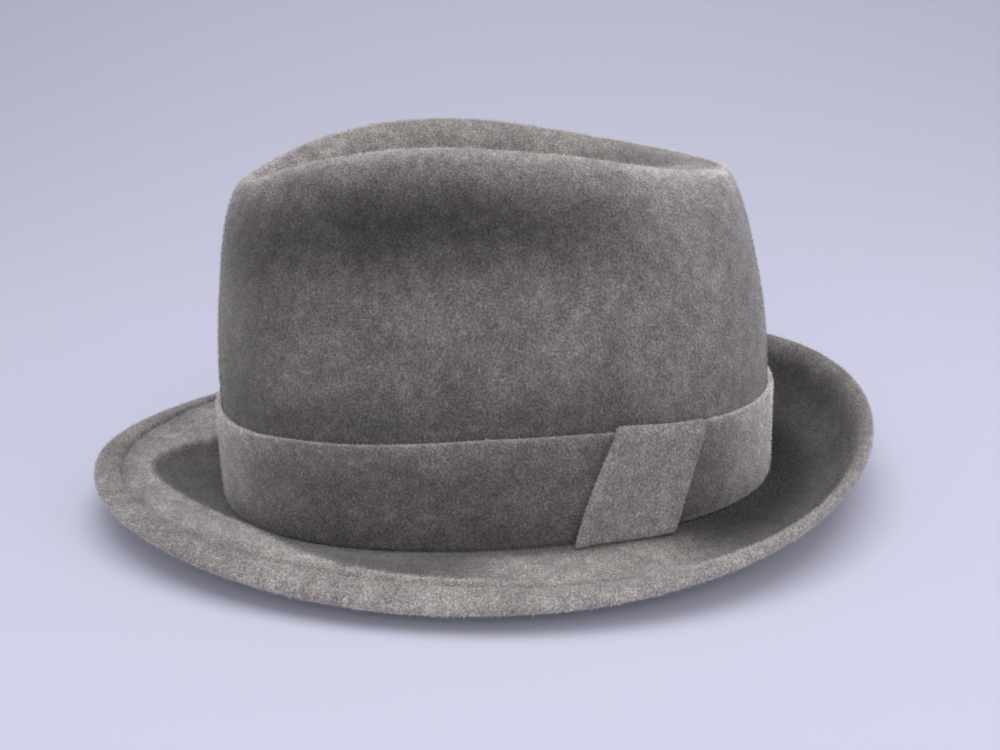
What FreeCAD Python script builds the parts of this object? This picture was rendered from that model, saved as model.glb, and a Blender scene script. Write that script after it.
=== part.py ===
import FreeCAD, Part
import Sketcher
import os
from math import pi, sin, cos, sqrt, exp, hypot

# Soft velour-felt fedora with a teardrop crown, a turned-over brim edge, a band of the same felt
# and a slanted keeper tab on the wearer's left.
# Frame: millimetres, +Z up, the front of the hat faces -Y, the wearer's left is +X.
# The origin is on the surface the hat stands on, under the middle of the brim.
# Angles run round the hat from the front (0) over the wearer's left (90) to the back (180).

# ------------------------------------------------------------------ sizes
SIZES = (
    ("head_half_length", 97.3, "half length of the head opening, inside the leather"),
    ("head_half_width", 81.3, "half width of the head opening, inside the leather"),
    ("head_egg", 0.033, "how much wider the head oval is behind its middle"),
    ("crown_back", 6.1, "crown middle behind the brim middle"),
    ("felt", 2.2, "thickness of the felt"),
    ("leather", 1.0, "thickness of the sweatband leather"),
    ("tape", 0.35, "thickness of the reed tape"),
    ("lay_gap", 0.25, "clearance between layers that lie on each other"),
    ("felt_gap", 0.4, "clearance between the felt and what lies inside it"),
    ("foot_height", 1.17, "brim break above the floor at the front and back"),
    ("side_rise", 8.4, "extra height of the brim break at the sides"),
    ("crest_height", 121.0, "mean height of the crown crest"),
    ("crest_front_lift", 4.1, "crest higher at the front than at the back, half"),
    ("crest_side_lift", 6.7, "crest higher at the sides than at the ends"),
    ("crest_skew", 1.9, "third harmonic of the crest height"),
    ("crest_half_length", 85.0, "half length of the crest loop"),
    ("crest_half_width", 37.5, "half width of the crest loop"),
    ("crest_taper", 0.222, "crest loop narrower at the front, as a share"),
    ("crease_depth", 21.0, "crease bottom below the mean crest"),
    ("crease_long", 0.6, "how far the crease keeps its length as it narrows"),
    ("crease_stop", 0.36, "share of the tip, behind, that the crease leaves free"),
    ("back_dome", 1.3, "rise of the free felt behind the crease"),
    ("lean_front", 0.0, "straight lean of the front wall"),
    ("lean_side", 0.15, "straight lean of the side walls"),
    ("lean_back", 0.2, "straight lean of the back wall"),
    ("belly_front", 0.03, "outward swell of the front wall"),
    ("belly_side", 0.1, "outward swell of the side walls"),
    ("belly_back", 0.12, "outward swell of the back wall"),
    ("pinch_depth", 6.0, "depth of the two side pinches"),
    ("pinch_angle", 66.0, "where round the hat each pinch lies"),
    ("pinch_spread", 30.0, "how far round the hat a pinch reaches"),
    ("pinch_level", 0.76, "height of the pinch as a share of the wall"),
    ("pinch_band", 0.13, "height of the pinch's reach as a share of the wall"),
    ("brim_half_length", 142.5, "half length over the brim"),
    ("brim_half_width", 122.6, "half width over the brim"),
    ("brim_egg", 0.15, "brim wider at the back, as a share"),
    ("edge_height", 15.8, "mean height of the brim edge"),
    ("edge_back_lift", 7.2, "edge higher at the back than at the front, half"),
    ("edge_end_lift", 7.7, "edge higher at the ends than at the sides"),
    ("edge_skew", 0.7, "third harmonic of the edge height"),
    ("arch_front", 7.2, "brim arched up at the front and hollow at the back"),
    ("arch_end", 2.4, "arch lower at both ends than at the sides"),
    ("arch_skew", 1.2, "third harmonic of the arch"),
    ("arch_mean", -1.1, "mean of the arch"),
    ("arch_reach", 1.35, "how far out on the brim the arch is highest, as a power"),
    ("ridge_rise", 1.6, "height of the soft ridge where the brim is snapped down in front"),
    ("ridge_near", 0.22, "share of the brim where that ridge comes nearest to the crown"),
    ("ridge_out", 0.43, "how much further out it runs before and after that"),
    ("ridge_angle", 31.0, "where round the hat it comes nearest"),
    ("ridge_spread", 19.0, "how soon round the hat it runs out again"),
    ("welt_width", 8.6, "width of the edge turned over on top of the brim"),
    ("welt_felt", 1.9, "thickness of the turned-over felt"),
    ("band_height", 35.9, "height of the felt band"),
    ("band_felt", 1.9, "thickness of the felt band"),
    ("band_gap", 0.4, "clearance between the band and the crown"),
    ("band_lift", 1.3, "band's lower edge above the brim break"),
    ("band_front_drop", 1.2, "band's upper edge lower at the very front"),
    ("band_back_drop", 2.5, "band's upper edge lower behind the tab"),
    ("tab_felt", 1.7, "thickness of the keeper tab"),
    ("tab_gap", 0.35, "clearance between the tab and the band"),
    ("tab_angle_low", 105.0, "middle of the tab at its lower edge"),
    ("tab_angle_high", 113.8, "middle of the tab at its upper edge"),
    ("tab_width", 31.5, "width of the tab along the band"),
    ("tab_over", 1.6, "tab turned in over the band's upper edge"),
    ("sweat_height", 48.0, "height of the leather sweatband"),
    ("sweat_lift", 2.6, "leather's lower edge above the brim break"),
    ("reed_across", 1.1, "diameter of the reed"),
    ("tape_back_height", 12.0, "reed tape behind the leather"),
    ("tape_front_height", 5.0, "reed tape in front of the leather"),
    ("stitch_across", 0.5, "diameter of the sewing thread"),
    ("stitch_long", 2.6, "length of one stitch"),
    ("stitch_count", 96, "stitches round the sweatband"),
    ("stitch_level", 7.5, "stitch line above the brim break"),
    ("seam_width", 5.0, "width of the strip over the sweatband's back seam"),
    ("seam_leather", 0.6, "thickness of that strip"),
    ("lining", 0.3, "thickness of the satin lining"),
    ("lining_free", 0.9, "lining hangs this much further from the felt above the leather"),
    ("lining_low", 14.0, "lining's lower edge above the brim break"),
    ("piping_across", 1.6, "diameter of the piping cord"),
    ("shield_film", 0.3, "thickness of the clear sweat shield"),
    ("label_width", 22.0, "width of the blank size label"),
    ("label_height", 14.0, "height of the blank size label"),
    ("label_paper", 0.3, "thickness of the blank size label"),
    ("bow_width", 22.0, "width of the small bow at the back"),
    ("bow_height", 7.0, "height of the bow's loops"),
    ("bow_ribbon", 0.9, "thickness of the bow's loops"),
    ("bow_knot", 4.0, "width of the bow's knot"),
    ("tack_count", 6, "thread tacks that hold the band"),
    ("tack_long", 2.4, "length of one tack"),
)

doc = FreeCAD.newDocument("felt_fedora")
sheet = doc.addObject("Spreadsheet::Sheet", "Sizes")
for row, (alias, value, note) in enumerate(SIZES, 1):
    sheet.set("A%d" % row, alias)
    sheet.set("B%d" % row, str(value))
    sheet.set("C%d" % row, note)
    sheet.setAlias("B%d" % row, alias)
doc.recompute()
size = {alias: float(sheet.get(alias)) for alias, value, note in SIZES}

ROUND = 48                                   # points round each ring of a soft form
TURN = [2 * pi * i / ROUND for i in range(ROUND)]
Vector = FreeCAD.Vector

# Layers inward from the outside of the crown wall.
TAPE_OUT = -(size["felt"] + size["felt_gap"])
LEATHER_OUT = TAPE_OUT - size["tape"] - size["felt_gap"]
LEATHER_IN = LEATHER_OUT - size["leather"]
TAPE_IN = LEATHER_IN - size["lay_gap"] - size["tape"]
WALL_LENGTH = size["head_half_length"] - LEATHER_IN
WALL_WIDTH = size["head_half_width"] - LEATHER_IN


# ------------------------------------------------------------------ the shape of the felt
def by_side(angle, front, side, back):
    """A value that runs smoothly from the front over the side to the back."""
    c = cos(angle)
    return (front if c > 0 else back) * c * c + side * (1 - c * c)


def from_front(angle):
    """How far an angle lies from the front, on either side, in degrees."""
    return abs(pi - abs((angle % (2 * pi)) - pi)) * 180 / pi


def foot(angle):
    """The brim break, where crown and brim meet, on the outside of the felt."""
    s, c = sin(angle), cos(angle)
    x = WALL_WIDTH * s * (1 - size["head_egg"] * c)
    y = size["crown_back"] - WALL_LENGTH * c
    return Vector(x, y, size["foot_height"] + size["side_rise"] * s * s)


def crest(angle):
    """The ridge round the creased tip."""
    s, c = sin(angle), cos(angle)
    x = size["crest_half_width"] * s * (1 - size["crest_taper"] * c)
    y = size["crown_back"] - size["crest_half_length"] * c
    z = (size["crest_height"] + size["crest_front_lift"] * c
         - size["crest_side_lift"] * cos(2 * angle) - size["crest_skew"] * cos(3 * angle))
    return Vector(x, y, z)


def edge(angle):
    """The outermost line of the brim."""
    s, c = sin(angle), cos(angle)
    x = size["brim_half_width"] * s * (1 - size["brim_egg"] * c)
    y = -size["brim_half_length"] * c
    z = (size["edge_height"] - size["edge_back_lift"] * c
         + size["edge_end_lift"] * cos(2 * angle) + size["edge_skew"] * cos(3 * angle))
    return Vector(x, y, z)


def wall(angle, share):
    """The outside of the crown wall, from the brim break (0) to the crest (1)."""
    low, high = foot(angle), crest(angle)
    lean = by_side(angle, size["lean_front"], size["lean_side"], size["lean_back"])
    belly = by_side(angle, size["belly_front"], size["belly_side"], size["belly_back"])
    inward = (lean * share + (1 - lean) * (1 - sqrt(max(0.0, 1 - share * share)))
              - belly * sin(pi * share) ** 2)
    point = low + (high - low) * inward
    point.z = low.z + (high.z - low.z) * share
    off = from_front(angle) - size["pinch_angle"]
    pinch = (size["pinch_depth"] * exp(-(off / size["pinch_spread"]) ** 2)
             * exp(-((share - size["pinch_level"]) / size["pinch_band"]) ** 2))
    point.x -= pinch * sin(angle)
    return point


def tip(angle, share):
    """The creased tip, from the bottom of the crease (0) to the crest (1). Behind, the crease
    stops short of the crest and the crown rounds over."""
    ridge = crest(angle)
    behind = max(0.0, -cos(angle)) ** 4
    blend = (1 - cos(pi * min(1.0, share / (1 - size["crease_stop"] * behind)))) / 2
    dome = size["back_dome"] * behind * sin(pi * share ** 3)
    bottom = size["crest_height"] - size["crease_depth"]
    x = ridge.x * share
    y = size["crown_back"] + (ridge.y - size["crown_back"]) * share ** size["crease_long"]
    return Vector(x, y, bottom + (ridge.z - bottom) * blend + dome)


def brim(angle, share):
    """The top of the brim, from the brim break (0) to its edge (1)."""
    low, out = foot(angle), edge(angle)
    point = low + (out - low) * share
    arch = (size["arch_mean"] + size["arch_front"] * cos(angle) - size["arch_end"] * cos(2 * angle)
            - size["arch_skew"] * cos(3 * angle))
    point.z += arch * sin(pi * share ** size["arch_reach"])
    off = (from_front(angle) - size["ridge_angle"]) / size["ridge_spread"]
    ridge = size["ridge_near"] + size["ridge_out"] * (1 - exp(-off ** 2))
    front = max(0.0, cos(angle) + 0.15) / 1.15
    point.z += size["ridge_rise"] * front * exp(-((share - ridge) / 0.1) ** 2)
    return point


def surface_point(angle, place):
    """One sheet of felt: the tip is 0 to 1, the wall 1 to 2 and the brim 2 to 3."""
    if place <= 1:
        return tip(angle, place)
    if place <= 2:
        return wall(angle, 2 - place)
    return brim(angle, place - 2)


def skin(angle, place, out):
    """A point that stands out from the felt's outer face by a distance along its normal."""
    here = surface_point(angle, place)
    if place == 0:
        return here + Vector(0, 0, out)
    step = 0.012
    before = 2 if 2 < place < 2 + step else max(place - step, 0.001)      # a face's normal stays on
    after = 2 if 2 - step < place < 2 else min(place + step, 3)           # its side of the brim break
    along = surface_point(angle, after) - surface_point(angle, before)
    across = surface_point(angle + step, place) - surface_point(angle - step, place)
    normal = along.cross(across)
    return here + normal.normalize() * out


def at_height(angle, height):
    """The place on the wall that is a height above the brim break."""
    return 2 - height / (crest(angle).z - foot(angle).z)


# ------------------------------------------------------------------ building soft forms
def even_poles(ring):
    """Poles of the closed cubic curve that passes through a ring of points."""
    poles = list(ring)
    for _ in range(14):
        poles = [poles[i] + point - (poles[i - 1] + poles[i] * 4 + poles[(i + 1) % ROUND]) * (1 / 6)
                 for i, point in enumerate(ring)]
    return poles


def soft_solid(rings, tipped=False):
    """A closed soft form: rings of points round the hat, in order round its section.
    A tipped form starts and ends in a single point; any other one closes on itself."""
    columns = [even_poles(ring) for ring in rings]
    poles = [[column[i] for column in columns] for i in range(ROUND)]
    count = len(columns)
    if tipped:
        knots = [float(i) for i in range(count - 2)]
        mults = [4] + [1] * (count - 4) + [4]
    else:
        knots = [float(i) for i in range(count + 1)]
        mults = [1] * (count + 1)
    surface = Part.BSplineSurface()
    surface.buildFromPolesMultsKnots(poles, [1] * (ROUND + 1), mults,
                                     [float(i) for i in range(ROUND + 1)], knots,
                                     True, not tipped, 3, 3)
    low, high = surface.bounds()[2:]
    middle = (low + high) / 2
    faces = [Part.RectangularTrimmedSurface(surface, 0, ROUND, a, b).toShape()
             for a, b in ((low, middle), (middle, high))]
    shell = Part.Shell(faces)
    shell.sewShape()
    solid = Part.Solid(shell)
    if solid.Volume < 0:
        solid.reverse()
    return solid


def felt_ring(place, out):
    return [skin(angle, place, out) for angle in TURN]


def height_ring(height, out):
    return [skin(angle, at_height(angle, height), out) for angle in TURN]


def strip(low, top, outer, inner):
    """A flat strip that runs round the crown wall, with softly rounded edges. top is its upper
    edge's height at an angle."""
    shares = [0, 0.02] + [k / 8 for k in range(1, 8)] + [0.98, 1]

    def ring(share, out):
        return [skin(angle, at_height(angle, low + (top(angle) - low) * share), out) for angle in TURN]
    return soft_solid([ring(share, outer) for share in shares]
                      + [ring(share, inner) for share in reversed(shares)])


def patch(outer, inner):
    """A solid between two matching grids of points, such as a label or a tab."""
    faces, sides = [], []
    for grid in (outer, inner):
        surface = Part.BSplineSurface()
        surface.interpolate(grid)
        face = surface.toShape()
        faces.append(face)
        u0, u1, v0, v1 = surface.bounds()
        sides.append([surface.uIso(u0).toShape(), surface.vIso(v1).toShape(),
                      surface.uIso(u1).toShape(), surface.vIso(v0).toShape()])
    faces += [Part.makeRuledSurface(a, b) for a, b in zip(*sides)]
    shell = Part.Shell(faces)
    shell.sewShape()
    solid = Part.Solid(shell)
    if solid.Volume < 0:
        solid.reverse()
    return solid


def rod(start, end, across):
    """A short round thread from one point to another."""
    return Part.makeCylinder(across / 2, (end - start).Length, start, end - start)


def add(name, shape):
    """A sub-part whose shape is made above, with its own label and placement."""
    feature = doc.addObject("Part::Feature", name)
    feature.Label = name
    feature.Shape = shape
    feature.Placement = FreeCAD.Placement()
    return feature


parts = []

# ------------------------------------------------------------------ felt body
# Crown and brim are one blocked felt. The brim edge is turned over on top of the brim and felted
# down, so it stands up as a rounded welt with a small step along its inner side.
WALL_PLACES = [1.02, 1.07, 1.14, 1.23, 1.34, 1.46, 1.58, 1.7, 1.8, 1.89, 1.95]
TIP_PLACES = [0.06, 0.16, 0.3, 0.45, 0.6, 0.74, 0.86, 0.94, 1.0]
BRIM_SHARES = [0.05, 0.14, 0.28, 0.42, 0.55, 0.66]


def brim_ring(share, out):
    return felt_ring(2 + share, out)


def welt_ring(share, out):
    """A ring on the turned-over edge, from its inner side (0) to the brim edge (1)."""
    ring = []
    for angle in TURN:
        wide = hypot(*(edge(angle) - foot(angle))[:2])
        start = 1 - size["welt_width"] / wide
        ring.append(skin(angle, 2 + start + (1 - start) * share, out))
    return ring


raised = size["welt_felt"]
under = -size["felt"]
top_side = ([felt_ring(0, 0)] + [felt_ring(p, 0) for p in TIP_PLACES + WALL_PLACES]
            + [felt_ring(2, 0)] + [brim_ring(k, 0) for k in BRIM_SHARES]
            + [welt_ring(-0.12, 0), welt_ring(-0.02, 0), welt_ring(0.0, raised * 0.9)]
            + [welt_ring(k, raised) for k in (0.14, 0.4, 0.66, 0.86)]
            + [welt_ring(1.0, raised * 0.75)])
under_side = ([welt_ring(1.0, under * 0.75)] + [welt_ring(k, under) for k in (0.86, 0.6, 0.3, 0.0)]
              + [brim_ring(k, under) for k in reversed(BRIM_SHARES)] + [felt_ring(2, under)]
              + [felt_ring(p, under) for p in reversed(TIP_PLACES + WALL_PLACES)] + [felt_ring(0, under)])
parts.append(add("felt_body", soft_solid(top_side + under_side, tipped=True)))

# ------------------------------------------------------------------ band, its tab and its tacks
BAND_IN = size["band_gap"]
BAND_OUT = BAND_IN + size["band_felt"]


def band_top(angle):
    """The band's upper edge above the brim break: a little lower in front and behind the tab."""
    behind = min(max((from_front(angle) - 95) / 25, 0), 1)
    return (size["band_lift"] + size["band_height"]
            - size["band_front_drop"] * max(0, cos(angle)) ** 2
            - size["band_back_drop"] * behind * behind * (3 - 2 * behind))


parts.append(add("hat_band", strip(size["band_lift"], band_top, BAND_OUT, BAND_IN)))


def tab_grid(away):
    """The tab's face at a distance from the band: up the outside and over the upper edge."""
    low = size["band_lift"]
    turned = min(size["tab_over"], size["band_felt"])
    section = [(share, 0, BAND_OUT + away) for share in (0, 0.15, 0.3, 0.45, 0.6, 0.73, 0.84, 0.92, 0.97)]
    section += [(1, away * sin(turn), BAND_OUT + away * cos(turn)) for turn in (0, pi / 6, pi / 3, pi / 2)]
    section += [(1, away, BAND_OUT - turned / 2), (1, away, BAND_OUT - turned)]
    grid = []
    for share, above, out in section:
        middle = size["tab_angle_low"] + (size["tab_angle_high"] - size["tab_angle_low"]) * share
        half = size["tab_width"] / 2 / (size["head_half_width"] + 10)
        row = []
        for k in range(7):
            angle = middle * pi / 180 + half * (k / 3 - 1)
            height = low + (band_top(angle) - low) * share + above
            row.append(skin(angle, at_height(angle, height), out))
        grid.append(row)
    return grid


parts.append(add("band_tab", patch(tab_grid(size["tab_gap"] + size["tab_felt"]), tab_grid(size["tab_gap"]))))

tacks = []
for k in range(int(size["tack_count"])):
    angle = 2 * pi * (k + 0.5) / size["tack_count"]
    out = BAND_OUT + size["stitch_across"] / 2 + size["lay_gap"]
    ends = [skin(angle, at_height(angle, band_top(angle) - back), out) for back in (1.0 + size["tack_long"], 1.0)]
    tacks.append(rod(ends[0], ends[1], size["stitch_across"]))
parts.append(add("band_tacks", Part.makeCompound(tacks)))

# ------------------------------------------------------------------ sweatband
SWEAT_TOP = size["sweat_lift"] + size["sweat_height"]
parts.append(add("sweatband", strip(size["sweat_lift"], lambda angle: SWEAT_TOP, LEATHER_OUT, LEATHER_IN)))


def cord_ring(place_of, out, across):
    """A round cord that follows the felt at a distance from its outer face."""
    rings = []
    for k in range(8):
        turn = 2 * pi * k / 8
        reach = across / 2 * 1.1                      # the cubic section draws in from its poles
        rings.append([skin(angle, place_of(angle, reach * sin(turn)), out + reach * cos(turn))
                      for angle in TURN])
    return soft_solid(rings)


def slide_up(angle, place, distance):
    """A place that is a distance up the felt from another one."""
    step = 0.002
    speed = (surface_point(angle, place + step) - surface_point(angle, place - step)).Length / (2 * step)
    return place - distance / speed


REED_LEVEL = size["sweat_lift"] - size["reed_across"] / 2 - 0.3
parts.append(add("sweatband_reed", cord_ring(lambda angle, up: at_height(angle, REED_LEVEL + up),
                                             (LEATHER_OUT + LEATHER_IN) / 2, size["reed_across"])))

# The tape is folded round the reed and the leather's lower edge.
fold = [(size["tape_back_height"], TAPE_OUT), (8.0, TAPE_OUT), (4.0, TAPE_OUT), (1.4, TAPE_OUT),
        (0.35, TAPE_OUT - 0.1), (0.15, (TAPE_OUT + TAPE_IN) / 2 + 0.4), (0.15, (TAPE_OUT + TAPE_IN) / 2 - 0.4),
        (0.35, TAPE_IN + 0.1), (1.4, TAPE_IN), (3.2, TAPE_IN), (size["tape_front_height"], TAPE_IN)]
inside = [(size["tape_front_height"], TAPE_IN + size["tape"]), (3.2, TAPE_IN + size["tape"]),
          (1.4, TAPE_IN + size["tape"]), (0.7, TAPE_IN + size["tape"] + 0.1),
          (0.5, (TAPE_OUT + TAPE_IN) / 2 - 0.3), (0.5, (TAPE_OUT + TAPE_IN) / 2 + 0.3),
          (0.7, TAPE_OUT - size["tape"] - 0.1), (1.4, TAPE_OUT - size["tape"]),
          (4.0, TAPE_OUT - size["tape"]), (8.0, TAPE_OUT - size["tape"]),
          (size["tape_back_height"], TAPE_OUT - size["tape"])]
parts.append(add("sweatband_tape", soft_solid([height_ring(level, out) for level, out in fold + inside])))

stitches = []
for k in range(int(size["stitch_count"])):
    angle = 2 * pi * (k + 0.5) / size["stitch_count"]
    out = LEATHER_IN - size["stitch_across"] / 2 - size["lay_gap"]
    middle = skin(angle, at_height(angle, size["stitch_level"]), out)
    beside = skin(angle + 0.01, at_height(angle + 0.01, size["stitch_level"]), out)
    way = (beside - middle).normalize() * (size["stitch_long"] / 2)
    stitches.append(rod(middle - way, middle + way, size["stitch_across"]))
parts.append(add("sweatband_stitching", Part.makeCompound(stitches)))


def wall_patch(middle, width, low, high, outer, inner):
    """A rectangular patch on the wall, between two distances from the felt's outer face."""
    half = width / 2 / size["head_half_width"] if abs(sin(middle)) > 0.7 else width / 2 / 68
    grids = []
    for out in (outer, inner):
        grids.append([[skin(middle + half * (k / 2 - 1), at_height(middle + half * (k / 2 - 1), level), out)
                       for k in range(5)]
                      for level in [low + (high - low) * n / 4 for n in range(5)]])
    return patch(*grids)


SEAM_OUT = LEATHER_IN - size["lay_gap"]
parts.append(add("sweatband_back_seam",
                 wall_patch(pi, size["seam_width"], size["stitch_level"] + 4, SWEAT_TOP - 2,
                            SEAM_OUT, SEAM_OUT - size["seam_leather"])))
parts.append(add("size_label",
                 wall_patch(pi * 0.8, size["label_width"], SWEAT_TOP - 8 - size["label_height"],
                            SWEAT_TOP - 8, SEAM_OUT, SEAM_OUT - size["label_paper"])))

# ------------------------------------------------------------------ lining
# The satin side piece hangs from behind the leather to just below the crest, a little free of
# the felt above the leather; the tip piece follows the creased tip; a cord piping covers the
# seam between them.
LINING_OUT = -(size["felt"] + size["felt_gap"])
LINING_FREE = LINING_OUT - size["lining_free"]
SEAM_PLACE = 1.06                            # where the tip piece meets the side piece


def hanging_ring(share, out):
    """A ring of the free lining, from the leather's upper edge (0) to the seam under the crest (1)."""
    ring = []
    for angle in TURN:
        start, end = at_height(angle, SWEAT_TOP), SEAM_PLACE + 0.008
        ring.append(skin(angle, start + (end - start) * share, out))
    return ring


side = [(height_ring, size["lining_low"] + (SWEAT_TOP - size["lining_low"]) * k / 7, LINING_OUT)
        for k in range(8)]
side += [(hanging_ring, share, LINING_FREE) for share in (0.14, 0.3, 0.46, 0.62, 0.76, 0.88, 0.96, 1)]
parts.append(add("lining_side", soft_solid(
    [ring(where, out) for ring, where, out in reversed(side)]
    + [ring(where, out - size["lining"]) for ring, where, out in side])))

TIP_OUT = LINING_FREE
LINING_TIP_PLACES = TIP_PLACES + [1.02, 1.04, SEAM_PLACE - 0.008]
tip_rings = [felt_ring(0, TIP_OUT)] + [felt_ring(p, TIP_OUT) for p in LINING_TIP_PLACES]
tip_rings += [felt_ring(p, TIP_OUT - size["lining"]) for p in reversed(LINING_TIP_PLACES)]
tip_rings += [felt_ring(0, TIP_OUT - size["lining"])]
parts.append(add("lining_tip", soft_solid(tip_rings, tipped=True)))

PIPING_OUT = TIP_OUT - size["lining"] - size["piping_across"] / 2 - size["lay_gap"]
parts.append(add("lining_piping",
                 cord_ring(lambda angle, up: slide_up(angle, SEAM_PLACE, up), PIPING_OUT, size["piping_across"])))

SHIELD_OUT = TIP_OUT - size["lining"] - size["lay_gap"]
shield_places = [0.06, 0.16, 0.3, 0.42, 0.5]
shield_rings = [felt_ring(0, SHIELD_OUT)] + [felt_ring(p, SHIELD_OUT) for p in shield_places]
shield_rings += [felt_ring(p, SHIELD_OUT - size["shield_film"]) for p in reversed(shield_places)]
shield_rings += [felt_ring(0, SHIELD_OUT - size["shield_film"])]
parts.append(add("sweat_shield", soft_solid(shield_rings, tipped=True)))

# ------------------------------------------------------------------ bow at the back
# Two flat ribbon loops drawn in at the middle by a knot, lying on the tape at the back seam.
bow = doc.addObject("PartDesign::Body", "sweatband_bow")
bow.Label = "sweatband_bow"
back_plane = [item for item in bow.Origin.OriginFeatures if item.Role == "XZ_Plane"][0]


def outline(name, corners):
    """A closed sketch of straight lines whose corners are bound to the sheet."""
    sketch = bow.newObject("Sketcher::SketchObject", name)
    sketch.AttachmentSupport = [(back_plane, "")]
    sketch.MapMode = "FlatFace"
    count = len(corners)
    spots = [Vector(sx * 10, sz * 3, 0) for sx, sz in ((c[2], c[3]) for c in corners)]
    for k in range(count):
        sketch.addGeometry(Part.LineSegment(spots[k], spots[(k + 1) % count]), False)
    for k in range(count):
        sketch.addConstraint(Sketcher.Constraint("Coincident", k, 2, (k + 1) % count, 1))
    for k, (across, up, sx, sz) in enumerate(corners):
        for kind, text, sign, now in (("DistanceX", across, sx, spots[k].x), ("DistanceY", up, sz, spots[k].y)):
            index = sketch.addConstraint(Sketcher.Constraint(kind, -1, 1, k, 1, now))
            sketch.setExpression("Constraints[%d]" % index, ("-" if sign < 0 else "") + text)
    return sketch


WIDE, NARROW = "Sizes.bow_width / 2", "Sizes.bow_knot / 2"
TALL, LOW = "Sizes.bow_height / 2", "Sizes.bow_height / 4"
loops = outline("bow_loops", [(WIDE, TALL, -1, -1), (NARROW, LOW, -0.2, -0.5), (NARROW, LOW, 0.2, -0.5),
                              (WIDE, TALL, 1, -1), (WIDE, TALL, 1, 1), (NARROW, LOW, 0.2, 0.5),
                              (NARROW, LOW, -0.2, 0.5), (WIDE, TALL, -1, 1)])
loops_pad = bow.newObject("PartDesign::Pad", "bow_loops_pad")
loops_pad.Profile = loops
loops_pad.setExpression("Length", "Sizes.bow_ribbon")
doc.recompute()
knot = outline("bow_knot", [(NARROW, TALL, -0.2, -0.8), (NARROW, TALL, 0.2, -0.8),
                            (NARROW, TALL, 0.2, 0.8), (NARROW, TALL, -0.2, 0.8)])
knot_pad = bow.newObject("PartDesign::Pad", "bow_knot_pad")
knot_pad.Profile = knot
knot_pad.setExpression("Length", "Sizes.bow_ribbon * 1.8")
bow.setExpression("Placement.Base.y", "Sizes.crown_back + Sizes.head_half_length - Sizes.tape"
                  " - Sizes.lay_gap - Sizes.bow_width * Sizes.bow_width / 8 / 68 - 0.4")
bow.setExpression("Placement.Base.z", "Sizes.foot_height + Sizes.stitch_level + 1.2")
doc.recompute()
parts.append(bow)

# ------------------------------------------------------------------ check and write
for item in doc.Objects:
    if "Invalid" in item.State or "Error" in item.State:
        raise RuntimeError("%s did not rebuild: %s" % (item.Name, item.State))
for item in parts:
    if item.Shape.isNull() or not item.Shape.isValid():
        raise RuntimeError("%s has no valid shape" % item.Label)

os.makedirs("parts", exist_ok=True)
for item in parts:
    item.Shape.exportStep("parts/%s.step" % item.Label)
    box = item.Shape.BoundBox
    print("%-22s volume %9.1f  x %7.1f %7.1f  y %7.1f %7.1f  z %6.2f %6.2f"
          % (item.Label, item.Shape.Volume, box.XMin, box.XMax, box.YMin, box.YMax, box.ZMin, box.ZMax))
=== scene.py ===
# %% [markdown]
# # A grey velour-felt fedora
# The hat is one piece of blocked fur felt with a teardrop crease in its crown and a brim whose edge
# is turned over on itself. Round the crown runs a strip of the same felt, and a slanted tab on the
# wearer's left covers the place where its ends meet. Inside are a leather sweatband and a satin
# lining. The solids in the frame give every place and size; this lesson gives them their cloth.

# %% Load the frame
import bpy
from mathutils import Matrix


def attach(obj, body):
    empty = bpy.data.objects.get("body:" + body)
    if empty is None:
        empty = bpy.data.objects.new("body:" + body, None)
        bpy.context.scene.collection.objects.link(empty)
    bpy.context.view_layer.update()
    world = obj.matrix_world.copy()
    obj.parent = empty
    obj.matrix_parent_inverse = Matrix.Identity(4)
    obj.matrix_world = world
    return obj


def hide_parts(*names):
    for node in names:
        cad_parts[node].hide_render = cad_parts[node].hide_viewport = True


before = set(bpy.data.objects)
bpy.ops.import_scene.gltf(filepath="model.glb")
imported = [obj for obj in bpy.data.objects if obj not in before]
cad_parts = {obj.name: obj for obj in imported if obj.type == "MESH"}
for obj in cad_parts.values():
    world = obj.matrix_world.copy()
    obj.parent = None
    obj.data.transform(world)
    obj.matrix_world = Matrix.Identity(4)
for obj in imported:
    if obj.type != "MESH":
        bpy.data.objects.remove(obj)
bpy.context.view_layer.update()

# %% Tools of the lesson
import math
from math import cos, exp, hypot, pi, radians, sin, sqrt

import bmesh
import bpy
from mathutils import Euler, Matrix, Vector, noise

scene = bpy.context.scene
scene.view_settings.view_transform = "Standard"
MM = 0.001

# %% [markdown]
# ## The shape of the felt
# A hatter blocks crown and brim from one cone of felt, so one sheet describes both. A point on it
# is found from its angle round the hat, with the front at 0, the wearer's left at 90 and the back
# at 180 degrees, and from its place along the sheet: 0 is the bottom of the crease, 1 the crest
# round the crease, 2 the break where the crown meets the brim and 3 the brim's edge. The same
# sheet then carries the band, the leather and the lining, each a little outside or inside it, so
# that nothing has to be fitted by eye.

# %% Lengths of the sheet, in millimetres
WALL_LENGTH, WALL_WIDTH, HEAD_EGG, CROWN_BACK = 101.65, 85.65, 0.033, 6.1
FOOT_HEIGHT, SIDE_RISE = 1.17, 8.4
CREST_LENGTH, CREST_WIDTH, CREST_TAPER, CREST_HEIGHT, CREASE_DEPTH = 85.0, 37.5, 0.222, 121.0, 21.0
BRIM_LENGTH, BRIM_WIDTH, BRIM_EGG, EDGE_HEIGHT = 142.5, 122.6, 0.15, 15.8
FELT, WELT_WIDTH, WELT_FELT = 2.2, 8.6, 1.9
CREASE_STOP, BACK_DOME = 0.36, 1.3


def by_side(angle, front, side, back):
    """A value that runs smoothly from the front over the side to the back."""
    c = cos(angle)
    return (front if c > 0 else back) * c * c + side * (1 - c * c)


def from_front(angle):
    """How far an angle lies from the front, on either side, in degrees."""
    return 180 - abs(180 - math.degrees(angle) % 360)


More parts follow.
